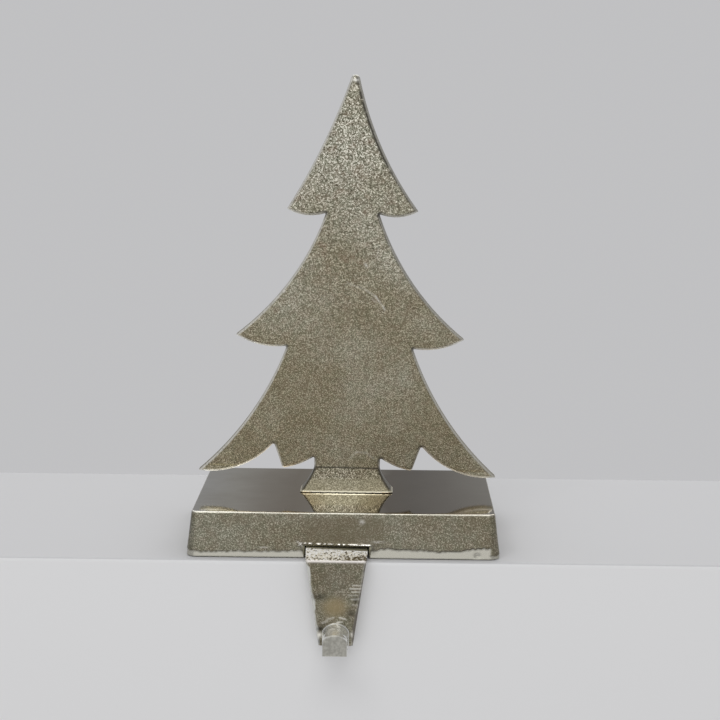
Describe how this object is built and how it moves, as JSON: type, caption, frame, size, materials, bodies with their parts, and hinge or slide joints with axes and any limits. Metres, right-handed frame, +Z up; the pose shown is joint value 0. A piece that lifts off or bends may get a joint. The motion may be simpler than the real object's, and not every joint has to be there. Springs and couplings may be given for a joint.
{
  "type": "mantel stocking holder",
  "caption": "Weighted shelf-top hanger: a rectangular metal pedestal carries a flat cast tree, and a hook in front drops over the shelf's edge.",
  "frame": {"origin": "middle of the felt's underside, on the shelf's top", "axes": "+Z up, +Y towards the wall behind the shelf, so the hook hangs in front at -Y; +X to the right seen from the front"},
  "size_m": [0.1194, 0.0975, 0.2119],
  "materials": {
    "base_nickel": "nickel-plated sand casting, top ground and mirror polished",
    "tree_nickel": "nickel-plated sand casting with a rough grain, edges ground smooth",
    "hook_nickel": "nickel-plated sand casting with a rough grain, peg polished",
    "felt": "black wool felt",
    "weight_iron": "as-cast grey iron",
    "screw_steel": "zinc-plated steel"
  },
  "bodies": {
    "root": {"base_casting": "base_nickel", "tree_casting": "tree_nickel", "hook_casting": "hook_nickel", "felt_sheet": "felt", "balance_weight": "weight_iron", "tree_screws": "screw_steel", "hook_screws": "screw_steel", "weight_screws": "screw_steel"}
  },
  "joints": []
}
